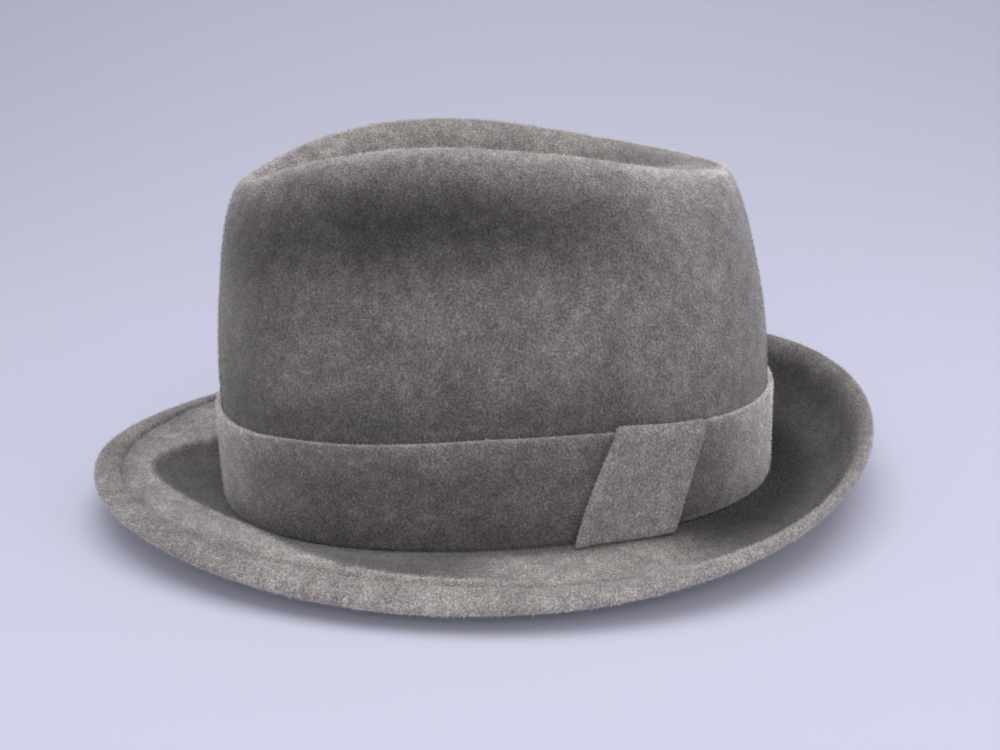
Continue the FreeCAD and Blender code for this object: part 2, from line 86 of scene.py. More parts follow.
def foot(angle):
    """The break, where crown and brim meet."""
    s, c = sin(angle), cos(angle)
    return Vector((WALL_WIDTH * s * (1 - HEAD_EGG * c), CROWN_BACK - WALL_LENGTH * c,
                   FOOT_HEIGHT + SIDE_RISE * s * s))


def crest(angle):
    """The ridge round the crease."""
    s, c = sin(angle), cos(angle)
    return Vector((CREST_WIDTH * s * (1 - CREST_TAPER * c), CROWN_BACK - CREST_LENGTH * c,
                   CREST_HEIGHT + 4.1 * c - 6.7 * cos(2 * angle) - 1.9 * cos(3 * angle)))


def edge(angle):
    """The outermost line of the brim, low at the sides and curled up behind."""
    s, c = sin(angle), cos(angle)
    return Vector((BRIM_WIDTH * s * (1 - BRIM_EGG * c), -BRIM_LENGTH * c,
                   EDGE_HEIGHT - 7.2 * c + 7.7 * cos(2 * angle) + 0.7 * cos(3 * angle)))


def wall(angle, share):
    """The crown wall, from the break (0) to the crest (1), with a pinch on each side."""
    low, high = foot(angle), crest(angle)
    lean, belly = by_side(angle, 0.0, 0.15, 0.2), by_side(angle, 0.03, 0.1, 0.12)
    inward = (lean * share + (1 - lean) * (1 - sqrt(max(0.0, 1 - share * share)))
              - belly * sin(pi * share) ** 2)
    point = low + (high - low) * inward
    point.z = low.z + (high.z - low.z) * share
    pinch = exp(-((from_front(angle) - 66) / 30) ** 2) * exp(-((share - 0.76) / 0.13) ** 2)
    point.x -= 6.0 * pinch * sin(angle)
    return point


def tip(angle, share):
    """The creased tip, from the bottom of the crease (0) to the crest (1). Behind, the crease
    stops short of the crest and the crown rounds over."""
    ridge, bottom, behind = crest(angle), CREST_HEIGHT - CREASE_DEPTH, max(0.0, -cos(angle)) ** 4
    rise = (1 - cos(pi * min(1.0, share / (1 - CREASE_STOP * behind)))) / 2
    return Vector((ridge.x * share, CROWN_BACK + (ridge.y - CROWN_BACK) * share ** 0.6,
                   bottom + (ridge.z - bottom) * rise + BACK_DOME * behind * sin(pi * share ** 3)))


def ridge_share(angle):
    """Where the ridge of the snapped brim lies: nearest to the crown at 31 degrees."""
    return 0.22 + 0.43 * (1 - exp(-((from_front(angle) - 31) / 19) ** 2))


def brim(angle, share):
    """The top of the brim, from the break (0) to the edge (1): arched in front, with the soft
    ridge of a brim that is snapped down, and hollow like a gutter behind."""
    point = foot(angle).lerp(edge(angle), share)
    arch = 7.2 * cos(angle) - 2.4 * cos(2 * angle) - 1.2 * cos(3 * angle) - 1.1
    ridge = 1.6 * max(0.0, cos(angle) + 0.15) / 1.15 * exp(-((share - ridge_share(angle)) / 0.1) ** 2)
    point.z += arch * sin(pi * min(share, 1) ** 1.35) + ridge
    return point


def sheet_point(angle, place):
    """A point of the felt's outer face, in millimetres."""
    if place <= 1:
        return tip(angle, place)
    return wall(angle, 2 - place) if place <= 2 else brim(angle, place - 2)


def skin(angle, place, out=0.0):
    """A point that stands off the felt's outer face along its normal, in metres."""
    here = sheet_point(angle, place)
    if place < 0.001:
        return (here + Vector((0, 0, out))) * MM
    step = 0.008
    before = 2 if 2 < place < 2 + step else max(place - step, 0.001)
    after = 2 if 2 - step < place < 2 else place + step
    along = sheet_point(angle, after) - sheet_point(angle, before)
    across = sheet_point(angle + step, place) - sheet_point(angle - step, place)
    return (here + along.cross(across).normalized() * out) * MM


def at_height(angle, height):
    """The place on the wall that is a height in millimetres above the break."""
    return 2 - height / (crest(angle).z - foot(angle).z)


def ease(value, low, high):
    """A smooth step from 0 at low to 1 at high."""
    share = min(max((value - low) / (high - low), 0.0), 1.0)
    return share * share * (3 - 2 * share)


def bump(value, middle, reach):
    return exp(-((value - middle) / reach) ** 2)


def painted_shade_and_highlights(angle, place):
    """How light the felt is painted, in doublings: painted shade deep in the crease, above the band,
    high in each pinch, in the valley by the band and in the hollow of the back brim; painted
    highlights on the crest, the brim's ridge and the welt; the crown's front painted darker and
    its back lighter, as the lamps fall."""
    turn = from_front(angle)
    if place < 1:
        # painted shade deep in the crease, lighter towards the crest, a painted highlight along the crest
        return -0.5 + 0.95 * ease(place, 0.35, 0.9) + 0.7 * bump(place, 1.0, 0.02)
    if place <= 2:
        height = (2 - place) * (crest(angle).z - foot(angle).z)
        # painted shade above the band and high in each pinch; front painted darker and back lighter, as the
        # lamps fall; a painted shadow line along the band's top; painted highlights on the crest
        tone = -0.38 - 0.7 * bump(height, 42, 9) * (1 - ease(turn, 95, 130))
        tone -= 1.5 * bump(turn, 70, 36) * bump(place, 1.17, 0.1)
        tone -= 0.3 * (1 - ease(turn, 55, 105)) * bump(place, 1.25, 0.25)
        tone += 0.45 * ease(turn, 95, 140) - 0.45 * bump(height, 37, 2.5) * ease(turn, 20, 60)
        return tone + 0.9 * bump(place, 1.0, 0.02) + 0.35 * bump(place, 1.04, 0.04)
    share = place - 2
    # painted shade in the valley between the band and the brim's ridge, and deep in the hollow of the back
    # brim
    valley = ease(share, ridge_share(angle) - 0.07, ridge_share(angle))
    front = -0.75 + 1.45 * (valley * (1 - ease(turn, 72, 88)) + ease(share, 0.08, 0.26) * ease(turn, 72, 88))
    back = -3.9 + 2.6 * ease(share, 0.12, 0.6)
    tone = front + (back - front) * ease(turn, 106, 134)
    near = 1 - ease(turn, 84, 112)                     # painted highlight on the ridge, darker just inside the welt, painted shadow line at the welt's step
    tone += near * (0.2 * bump(share, ridge_share(angle) + 0.01, 0.03) - 0.35 * bump(share, 0.74, 0.06))
    tone -= near * 0.9 * bump(share, 0.787, 0.012)
    # the welt painted lighter as a painted highlight; behind, painted shade inside the curled brim and a
    # painted highlight on its rim
    welt = 0.62 - 0.4 * (1 - ease(turn, 20, 75))
    welt += (ease(share, 0.84, 0.98) * 1.9 - 1.6 - welt) * ease(turn, 118, 150)
    return tone + (welt - tone) * ease(share, 0.72, 0.82 if turn < 110 else 0.88)


print("crest at the side", [round(v, 4) for v in skin(pi / 2, 1)])

# %% [markdown]
# ## Rings and patches
# Everything that runs round the hat starts as one circle. Its edge is extruded once for every
# ring, and each new ring is moved to its place on the sheet. Each vertex carries its angle in a
# layer of its own, which an extrusion copies, so a ring never has to be searched for. Flat things,
# such as the tab and the label, start as a grid that is laid on the sheet in the same way.

# %% Helpers for rings and patches
def finish_mesh(bm, name, levels=0):
    """Turns a bmesh into a smooth-shaded piece with its faces outwards."""
    bmesh.ops.remove_doubles(bm, verts=bm.verts, dist=1e-6)
    bmesh.ops.recalc_face_normals(bm, faces=bm.faces)
    mesh = bpy.data.meshes.new(name)
    bm.to_mesh(mesh)
    bm.free()
    mesh.shade_smooth()
    piece = bpy.data.objects.new(name, mesh)
    scene.collection.objects.link(piece)
    if levels:
        subdivision = piece.modifiers.new("round_off", "SUBSURF")
        subdivision.levels = subdivision.render_levels = levels
    return piece


def ring_piece(name, rings, poles=False, levels=1, marks=None, tone_at=painted_shade_and_highlights, around=192):
    """Extrudes a circle through rings. A ring is a function of the angle that gives a point.
    With poles, the first and the last ring are single points; otherwise the section closes.
    marks gives each ring its nap zone and the place whose tone it has from tone_at."""
    bm = bmesh.new()
    turn = bm.verts.layers.float.new("turn")
    zone = bm.verts.layers.float.new("nap")
    shade = bm.verts.layers.float.new("tone")
    loop = bmesh.ops.create_circle(bm, segments=around, radius=1, cap_ends=poles, cap_tris=poles)["verts"]
    middle = [v for v in loop if v.co.length < 0.5]
    rim = [v for v in loop if v.co.length > 0.5]
    for v in rim:
        v[turn] = math.atan2(v.co.y, v.co.x) % (2 * pi)
    for v in middle:
        v.co = rings[0](0)
    marks = marks or [(1, None)] * len(rings)
    rounds = list(zip(rings, marks))[1:-1] if poles else list(zip(rings, marks))

    def settle(verts, place, mark):
        for v in verts:
            v.co, v[zone] = place(v[turn]), mark[0]
            v[shade] = 0.0 if mark[1] is None else tone_at(v[turn], mark[1])
    settle(rim, *rounds[0])
    edges = [e for e in bm.edges if e.is_boundary] if poles else bm.edges[:]
    first = edges
    for place, mark in rounds[1:]:
        grown = bmesh.ops.extrude_edge_only(bm, edges=edges)["geom"]
        settle([v for v in grown if isinstance(v, bmesh.types.BMVert)], place, mark)
        edges = [e for e in grown if isinstance(e, bmesh.types.BMEdge) and len(e.link_faces) == 1]
    if poles:
        grown = bmesh.ops.extrude_edge_only(bm, edges=edges)["geom"]
        ends = [v for v in grown if isinstance(v, bmesh.types.BMVert)]
        bmesh.ops.pointmerge(bm, verts=ends, merge_co=rings[-1](0))
    else:
        bmesh.ops.bridge_loops(bm, edges=first + edges)
    return finish_mesh(bm, name, levels)


def patch_piece(name, place, columns, rows, thickness, levels=1):
    """Lays a grid on the sheet with place(across, up), both from -1 to 1, and gives it thickness."""
    bm = bmesh.new()
    zone = bm.verts.layers.float.new("nap")
    bmesh.ops.create_grid(bm, x_segments=columns, y_segments=rows, size=1)
    for v in bm.verts:
        v.co, v[zone] = place(v.co.x, v.co.y), 1.0
    bmesh.ops.recalc_face_normals(bm, faces=bm.faces)
    bmesh.ops.solidify(bm, geom=bm.faces[:], thickness=thickness * MM)
    return finish_mesh(bm, name, levels)


def on_sheet(place, out=0.0):
    return lambda angle: skin(angle, place, out)


def on_wall(height, out):
    return lambda angle: skin(angle, at_height(angle, height), out)


# %% [markdown]
# ## Colours and nodes
# Every colour is written as the sRGB hex value a screen shows, and one function turns it to the
# linear values that light works in. One small function adds a node, fills in its sockets and
# links whatever is another node's output.

# %% Helpers for materials
def linear(hex_text, alpha=1.0):
    """A linear colour from an sRGB hex value."""
    parts = [int(hex_text[i:i + 2], 16) / 255 for i in (1, 3, 5)]
    return [c / 12.92 if c <= 0.04045 else ((c + 0.055) / 1.055) ** 2.4 for c in parts] + [alpha]


def add_node(tree, kind, sockets=None, **settings):
    """Adds a node with its settings; a socket's value may be another node's output."""
    node = tree.nodes.new(kind)
    for key, value in settings.items():
        setattr(node, key, value)
    for key, value in (sockets or {}).items():
        if isinstance(value, bpy.types.NodeSocket):
            tree.links.new(value, node.inputs[key])
        else:
            node.inputs[key].default_value = value
    return node


def new_material(name):
    """An empty material with its output node."""
    material = bpy.data.materials.new(name)
    material.use_nodes = True
    material.node_tree.nodes.clear()
    return material, material.node_tree, add_node(material.node_tree, "ShaderNodeOutputMaterial")


def blend_colour(tree, share, low, high, kind="MIX"):
    """The output of a colour mix of two colours or outputs."""
    mix = add_node(tree, "ShaderNodeMix", {0: share, 6: low, 7: high}, data_type="RGBA", blend_type=kind)
    return mix.outputs[2]


def spread(tree, value, low, high):
    """Stretches the part of a value between low and high to the whole range from 0 to 1."""
    return add_node(tree, "ShaderNodeMapRange",
                    {"Value": value, "From Min": low, "From Max": high}).outputs[0]


# %% [markdown]
# ## Velour felt
# Velour is fur felt whose fibres are raised and brushed, so it has no weave. What the eye sees is
# a pile that takes the light differently wherever it was brushed another way: cloudy patches of a
# centimetre or two, smaller mottling, and specks of single darker and lighter clumps. The patches,
# the mottling and the specks are three noises of real sizes. On top of them lies the tone that
# each vertex carries: painted shade in the hat's hollows and creases, painted highlights on its
# crest, ridge, welt and band edge, and the front painted darker and the back lighter, as the lamps
# fall. Tone and noises add up in doublings of light, so one power turns their sum into a factor
# for the felt's own colour.

# %% Velour felt
def velour(name, shade, light, dark, lift=0.0):
    """Brushed fur felt. shade is its middle colour, light and dark those of its patches, and lift
    makes the whole pile lighter, in doublings."""
    material, tree, output = new_material(name)
    where = add_node(tree, "ShaderNodeTexCoord").outputs["Object"]

    def clumps(size, detail, roughness):
        return add_node(tree, "ShaderNodeTexNoise",
                        {"Vector": where, "Scale": 1 / (size * MM), "Detail": detail,
                         "Roughness": roughness}).outputs[0]
    patches = spread(tree, clumps(24, 3.0, 0.6), 0.34, 0.66)
    base = blend_colour(tree, patches, linear(dark), linear(light))
    base = blend_colour(tree, 0.5, base, linear(shade))
    tint = blend_colour(tree, spread(tree, clumps(1.7, 2.0, 0.6), 0.38, 0.62),
                        linear("#9d917f"), linear("#8c96a0"))
    base = blend_colour(tree, 0.14, base, tint)
    # the tone each vertex carries: painted shade and painted highlights
    total = add_node(tree, "ShaderNodeAttribute", attribute_name="tone").outputs["Fac"]
    # single hairs are 0.02 mm thick; clumps of 0.8 mm are the finest that still show
    for size, detail, roughness, amount in ((4.5, 3.0, 0.6, 1.5), (0.8, 1.5, 0.7, 3.2)):
        total = add_node(tree, "ShaderNodeMath", {0: clumps(size, detail, roughness), 1: amount, 2: total},
                         operation="MULTIPLY_ADD").outputs[0]
    total = add_node(tree, "ShaderNodeMath", {0: total, 1: lift - 2.85}, operation="ADD").outputs[0]
    factor = add_node(tree, "ShaderNodeMath", {0: 2.0, 1: total}, operation="POWER").outputs[0]
    colour = add_node(tree, "ShaderNodeVectorMath", {0: base, "Scale": factor}, operation="SCALE").outputs[0]
    grain = add_node(tree, "ShaderNodeBump", {"Height": clumps(0.8, 1.5, 0.7), "Strength": 0.45,
                                              "Distance": 0.4 * MM})
    shader = add_node(tree, "ShaderNodeBsdfPrincipled",
                      {"Base Color": colour, "Roughness": 0.95, "Specular IOR Level": 0.1,
                       "Sheen Weight": 0.75, "Sheen Roughness": 0.4, "Sheen Tint": linear("#e4e1df"),
                       "Normal": grain.outputs[0]})
    tree.links.new(shader.outputs[0], output.inputs[0])
    return material


crown_velour = velour("velour_fur_felt", "#9a9390", "#b2aaa6", "#7b7472")
band_velour = velour("velour_band_felt", "#979090", "#a8a09d", "#7b7472")
# the tab is the band's felt painted lighter: painted light on the tab
tab_velour_painted_lighter = velour("velour_tab_felt_painted_lighter", "#a39c9a", "#b3aba8", "#8d8583", lift=0.1)
# the hairs are the felt's fibres painted lighter: a painted sheen on the nap
hair = velour("raised_fur_hairs_painted_sheen", "#a6a5a4", "#bab8b6", "#8e898a", lift=0.6)
print("felt materials", len(bpy.data.materials))

# %% [markdown]
# ## The felt body
# On the real hat crown, brim and edge are one felt about 2 mm thick. The brim's edge is turned
# over on top of the brim and felted down, which leaves a rounded welt with a small step on its
# inner side. It could be a plane with a solidify modifier, but the welt is folded, not thickened,
# so the section is drawn out ring by ring: crease, crest, wall, break, brim, up over the welt,
# round the edge and back along the underside to the inside of the crease.

# %% The felt body
def hand(angle, place):
    """The small unevenness of hand-blocked felt, in millimetres."""
    if 1.64 < place < 2.08:                            # held flat under the band
        return 0.0
    here = sheet_point(angle, place)
    return noise.noise(here / 34) * 0.55 + noise.noise(here / 15 + Vector((7, 3, 1))) * 0.22


def felt_at(place, out):
    return lambda angle: skin(angle, place, out + hand(angle, place))


def welt_place(angle, share):
    """The place of a share of the turned-over edge, from its inner side (0) to the edge (1)."""
    start = 1 - WELT_WIDTH / hypot(*(edge(angle) - foot(angle)).xy)
    return 2 + start + (1 - start) * share


def welt_at(share, out):
    """A ring on the welt. Behind, the pile hides the step, so it stands up less there."""
    def point(angle):
        place = welt_place(angle, share)
        rise = out if out < 0 else out * (1 - (0.9 - 0.7 * share) * ease(from_front(angle), 112, 140))
        return skin(angle, place, rise + hand(angle, min(place, 3)) * 0.6)
    return point


TIP = [0.03, 0.08, 0.14, 0.2, 0.27, 0.34, 0.42, 0.5, 0.58, 0.66, 0.73, 0.8, 0.86, 0.91, 0.955, 0.985]
WALL = [1.0005, 1.003, 1.008, 1.016, 1.028, 1.045, 1.07, 1.1, 1.135, 1.17, 1.21, 1.25, 1.3, 1.35, 1.41, 1.47,
        1.53, 1.59, 1.65, 1.71, 1.78, 1.86, 1.93, 1.975]
BRIM = [2.02, 2.06, 2.12, 2.2, 2.28, 2.36, 2.43, 2.49, 2.54, 2.59, 2.65]
RAISED = ((0.005, 0.45), (0.05, 0.86), (0.13, 1.0), (0.3, 1.08), (0.52, 1.1), (0.74, 1.02), (0.9, 0.8),
          (0.985, 0.42))
BELOW = ((1.01, 0.1), (0.985, 0.55), (0.9, 0.88), (0.74, 1.0), (0.5, 1.0), (0.2, 1.0), (-0.15, 1.0))
rings, marks = [], []
for place in [0] + TIP + WALL + [2.0] + BRIM:
    rings.append(felt_at(place, 0))
    marks.append((1 if place < 2 else 2, place))
for share in (-0.2, -0.07, -0.015):
    rings.append(welt_at(share, 0))
    marks.append((2, 2.787 + share * 0.28))
for share, rise in RAISED:
    rings.append(welt_at(share, WELT_FELT * rise))
    marks.append((2, 2.79 + 0.2 * share))
for share, fall in BELOW:
    rings.append(welt_at(share, -FELT * fall))
    marks.append((2, 2.99 if share > 0.8 else None))
for place in BRIM[::-2] + [2.02, 2.0]:
    rings.append(felt_at(place, -FELT))
    marks.append((2 if place > 2.1 else 0, None))
for place in WALL[::-2] + TIP[::-2] + [0]:
    rings.append(felt_at(place, -FELT))
    marks.append((0, None))
felt_body = ring_piece("felt_crown_and_brim", rings, poles=True, marks=marks)
felt_body.data.materials.append(crown_velour)
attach(felt_body, "root")
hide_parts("felt_body")
print("felt body faces", len(felt_body.data.polygons))

# %% [markdown]
# ## The band
# The band is a strip of the same felt, 36 mm high in front and a little lower behind the tab,
# drawn tight round the foot of the crown. Its cut edges are soft and fuzzy.

# %% The band
BAND_IN, BAND_OUT, BAND_LOW = 0.4, 2.3, 1.3


def band_top(angle):
    """The band's upper edge above the break: a little lower in front and behind the tab."""
    return 37.2 - 1.2 * max(0, cos(angle)) ** 2 - 2.5 * ease(from_front(angle), 95, 120)


def strip_rings(low, top, outer, inner, soft=0.7, wave=0.0):
    """The section of a flat strip round the crown, with its corners a little rounded. top is its
    upper edge's height at an angle; each entry of the section is a share of the height, a distance
    from that share in millimetres, and how far out it lies."""
    cut = (outer - inner) * 0.18
    corners = [(0, 0, outer - cut), (0, soft * 0.35, outer), (0, soft, outer), (0.35, 0, outer),
               (0.65, 0, outer), (1, -soft, outer), (1, -soft * 0.35, outer), (1, 0, outer - cut)]
    corners += [(share, off, inner + (cut if out < outer else 0)) for share, off, out in reversed(corners)]

    def at(share, off, out):
        def point(angle):
            ripple = wave * noise.noise(Vector((cos(angle), sin(angle), 3.0)) * 3) * share
            return skin(angle, at_height(angle, low + (top(angle) - low) * share + off + ripple), out)
        return point
    return [at(*corner) for corner in corners]


def band_painted_shade_and_highlights(angle, share):
    """Painted light on the band: darkest in the middle of its side, painted lighter towards the front,
    where it turns from view, and towards the back, where the lamp behind falls, with a painted
    highlight along its upper edge and painted shade along its foot."""
    turn = from_front(angle)
    behind = ease(turn, 112, 150)
    tone = -0.72 + 1.1 * (1 - ease(turn, 14, 55)) + 1.8 * behind
    return tone + ease(share, 0.95, 1.0) * (1 - 0.6 * behind) - 0.3 * (1 - ease(share, 0, 0.2))


SHARES = (0, 0.01, 0.02, 0.35, 0.65, 0.97, 0.985, 1)
band = ring_piece("felt_band", strip_rings(BAND_LOW, band_top, BAND_OUT, BAND_IN, wave=0.5),
                  marks=[(1, share) for share in SHARES + SHARES[::-1]], tone_at=band_painted_shade_and_highlights)
band.data.materials.append(band_velour)
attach(band, "root")
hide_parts("hat_band")
print("band faces", len(band.data.polygons))

# %% [markdown]
# ## The tab
# A leaning piece of felt wraps the band where its ends meet. It stands proud of the band, goes
# over its upper edge and rests on the brim with its lower edge turned slightly out. It is a grid
# laid on the band and thickened.

# %% The tab
def tab_place(across, up):
    """A point on the inner face of the tab."""
    share = (up + 1) / 2
    angle = radians(105.0 + 8.8 * share + across * (9.9 + 0.5 * sin(pi * share)))
    top_here = band_top(angle) - 0.55 - 0.35 * across
    height = 0.2 + (top_here - 0.2) * min(1.0, share / 0.93)
    flare = 1.3 * (1 - share) ** 3 * (1.2 + across) + 1.1 * bump(across, -1, 0.25) * (1 - share) ** 6
    out = BAND_OUT + 0.35 + flare + bump(across, -1, 0.22)      # the front edge stands off the band
    if share > 0.93:
        out -= 1.9 * (share - 0.93) / 0.07
        height += 0.9
    return skin(angle, at_height(angle, height), out)


tab = patch_piece("felt_keeper_tab", tab_place, 14, 22, -1.7, levels=1)
tab.data.materials.append(tab_velour_painted_lighter)
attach(tab, "root")
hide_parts("band_tab")
print("tab faces", len(tab.data.polygons))

# %% [markdown]
# ## The raised nap
# Brushing raises hairs about a millimetre long. They give the felt its speckle and a soft outline
# that no smooth surface has; their colour is painted lighter than the felt's, a painted sheen that
# makes this outline light. Each hair is one thin triangle, and geometry nodes scatter them: points
# on the part of the felt that the nap layer names, one blade on each point, turned to the surface,
# leaned the way the pile was brushed, and then made real so that they are a mesh like any other.
# Their map for baking is a plain table of cells, one to a hair.

# %% The raised nap
def raise_nap(name, ground, zone, per_mm2, long, seed):
    """Grows hairs on the faces of a piece whose nap layer is a zone, as one mesh."""
    tree = bpy.data.node_groups.new(name, "GeometryNodeTree")
    for way in ("INPUT", "OUTPUT"):
        tree.interface.new_socket("Geometry", in_out=way, socket_type="NodeSocketGeometry")
    ground_mesh = add_node(tree, "NodeGroupInput").outputs[0]
    layer = add_node(tree, "GeometryNodeInputNamedAttribute", {"Name": "nap"}, data_type="FLOAT").outputs[0]
    chosen = add_node(tree, "FunctionNodeCompare", {0: layer, 1: float(zone), "Epsilon": 0.4},
                      data_type="FLOAT", operation="EQUAL").outputs[0]
    amount = add_node(tree, "ShaderNodeMath", {0: chosen, 1: per_mm2 / MM ** 2},
                      operation="MULTIPLY").outputs[0]
    points = add_node(tree, "GeometryNodeDistributePointsOnFaces",
                      {"Mesh": ground_mesh, "Density": amount, "Seed": seed}, distribute_method="RANDOM")
    triangle = add_node(tree, "GeometryNodeMeshCircle", {"Vertices": 3, "Radius": 1.0},
                        fill_type="NGON").outputs[0]
    blade = add_node(tree, "GeometryNodeTransform",
                     {"Geometry": triangle, "Translation": (0, 0, long * MM / 3), "Rotation": (0, -pi / 2, 0),
                      "Scale": (long * MM / 1.5, 0.075 * MM, 1)}).outputs[0]

    def random_between(low, high, index):
        return add_node(tree, "FunctionNodeRandomValue", {0: low, 1: high, "Seed": seed + index},
                        data_type="FLOAT_VECTOR").outputs[0]
    lean = add_node(tree, "FunctionNodeRotateRotation",
                    {"Rotation": points.outputs["Rotation"],
                     "Rotate By": random_between((-0.2, -1.1, 0), (1.0, 0.3, 0), 1)},
                    rotation_space="LOCAL").outputs[0]
    turn = add_node(tree, "FunctionNodeRotateRotation",
                    {"Rotation": lean, "Rotate By": random_between((0, 0, 0), (0, 0, 2 * pi), 2)},
                    rotation_space="LOCAL").outputs[0]
    hairs = add_node(tree, "GeometryNodeInstanceOnPoints",
                     {"Points": points.outputs["Points"], "Instance": blade, "Rotation": turn,
                      "Scale": random_between((0.8, 0.8, 0.5), (1.2, 1.2, 1.3), 3)}).outputs[0]
    real = add_node(tree, "GeometryNodeRealizeInstances", {"Geometry": hairs}).outputs[0]
    add_node(tree, "NodeGroupOutput", {0: real})

    host = ground.copy()
    scene.collection.objects.link(host)
    host.modifiers.new("raise_nap", "NODES").node_group = tree
    nap_mesh = bpy.data.meshes.new_from_object(host.evaluated_get(bpy.context.evaluated_depsgraph_get()))
    bpy.data.objects.remove(host)
    nap_mesh.name = name
    for v in nap_mesh.vertices:                        # the hat's weight lays the hairs under it flat
        v.co.z = max(v.co.z, 0.0)
    cells = math.ceil(sqrt(len(nap_mesh.polygons)))
    table = nap_mesh.uv_layers.new(name="OFBake")
    for face in nap_mesh.polygons:
        column, row = face.index % cells, face.index // cells
        for corner, (across, up) in zip(face.loop_indices, ((0.85, 0.5), (0.15, 0.85), (0.15, 0.15))):
            table.uv[corner].vector = ((column + across) / cells, (row + up) / cells)
    piece = bpy.data.objects.new(name, nap_mesh)
    scene.collection.objects.link(piece)
    nap_mesh.materials.clear()
    nap_mesh.materials.append(hair)
    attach(piece, "root")
    print(name, "hairs", len(nap_mesh.polygons))
    return piece


raise_nap("nap_on_the_crown", felt_body, 1, 2.4, 1.05, 11)
raise_nap("nap_on_the_brim", felt_body, 2, 2.6, 1.05, 12)
raise_nap("nap_on_the_band", band, 1, 2.6, 0.95, 13)
raise_nap("nap_on_the_tab", tab, 1, 2.8, 0.95, 14)

# %% [markdown]
# ## Inside the hat
# The leather sweatband is what touches the head. A reed in a folded tape is stitched to its lower
# edge, which gives the hat its oval; at the back a strip covers the seam of the leather and a
# small ribbon bow marks it. All of these lie on the felt, so each is a strip or a patch of the
# sheet at its own distance inward.

# %% Materials of the inside
def plain_finish(name, colour, roughness, grain_mm, grain_depth, sheen=0.0, ribs=None, stray=0.25):
    """A finish with a fine grain. ribs is the spacing of woven ribs in millimetres, and stray how
    far the colour strays, in doublings."""
    material, tree, output = new_material(name)
    where = add_node(tree, "ShaderNodeTexCoord").outputs["Object"]
    grain = add_node(tree, "ShaderNodeTexNoise",
                     {"Vector": where, "Scale": 1 / (grain_mm * MM), "Detail": 3.0}).outputs[0]
    cloud = add_node(tree, "ShaderNodeTexNoise",
                     {"Vector": where, "Scale": 1 / (18 * MM), "Detail": 2.0}).outputs[0]
    height = grain
    if ribs:
        height = add_node(tree, "ShaderNodeTexWave", {"Vector": where, "Scale": pi / 10 / (ribs * MM),
                                                      "Distortion": 0.4}, bands_direction="Z").outputs[1]
    exponent = add_node(tree, "ShaderNodeMath", {0: cloud, 1: stray * 4, 2: -stray * 2},
                        operation="MULTIPLY_ADD")
    factor = add_node(tree, "ShaderNodeMath", {0: 2.0, 1: exponent.outputs[0]},
                      operation="POWER").outputs[0]
    shade = add_node(tree, "ShaderNodeVectorMath", {0: linear(colour)[:3], "Scale": factor},
                     operation="SCALE")
    relief = add_node(tree, "ShaderNodeBump",
                      {"Height": height, "Strength": 0.6, "Distance": grain_depth * MM})
    shader = add_node(tree, "ShaderNodeBsdfPrincipled",
                      {"Base Color": shade.outputs[0], "Roughness": roughness, "Sheen Weight": sheen,
                       "Specular IOR Level": 0.4, "Normal": relief.outputs[0]})
    tree.links.new(shader.outputs[0], output.inputs[0])
    return material


leather = plain_finish("brown_sweatband_leather", "#6d4a33", 0.45, 0.9, 0.12)         # calf, fine pores
strip_leather = plain_finish("brown_seam_leather", "#5f3f2b", 0.5, 0.8, 0.12)         # the same, darker
grosgrain = plain_finish("grosgrain_tape", "#4b4542", 0.7, 0.5, 0.15, ribs=0.8)    # ribbed cotton
ribbon = plain_finish("grosgrain_ribbon", "#3f3a38", 0.6, 0.5, 0.12, ribs=0.8)     # ribbed rayon
satin = plain_finish("grey_satin_lining", "#8d8889", 0.32, 0.35, 0.03, sheen=0.3)     # acetate satin
satin_tip = plain_finish("grey_satin_tip", "#938e8f", 0.3, 0.35, 0.03, sheen=0.3)     # acetate satin
cord_cover = plain_finish("satin_piping", "#6f6a6b", 0.35, 0.35, 0.03, ribs=1.2)   # satin on a cord
thread = plain_finish("cotton_thread", "#5d5653", 0.8, 0.25, 0.05)                    # twisted cotton
tack_thread = plain_finish("grey_tack_thread", "#7a7370", 0.9, 0.25, 0.05)            # matched to the felt
reed_plastic = plain_finish("reed_plastic", "#b9b2a4", 0.5, 1.0, 0.02)                # hard plastic cord
label_cloth = plain_finish("label_satin", "#d9d4c8", 0.5, 0.4, 0.03)                  # unprinted label
film = plain_finish("clear_film", "#d6d8d6", 0.12, 3.0, 0.02)                         # sweat shield
film_shader = [n for n in film.node_tree.nodes if n.type == "BSDF_PRINCIPLED"][0]
film_shader.inputs["Transmission Weight"].default_value = 0.9
print("materials", len(bpy.data.materials))


def put_on(piece, material, node):
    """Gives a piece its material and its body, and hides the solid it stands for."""
    piece.data.materials.append(material)
    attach(piece, "root")
    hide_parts(node)
    print(piece.name, "faces", len(piece.data.polygons))
    return piece


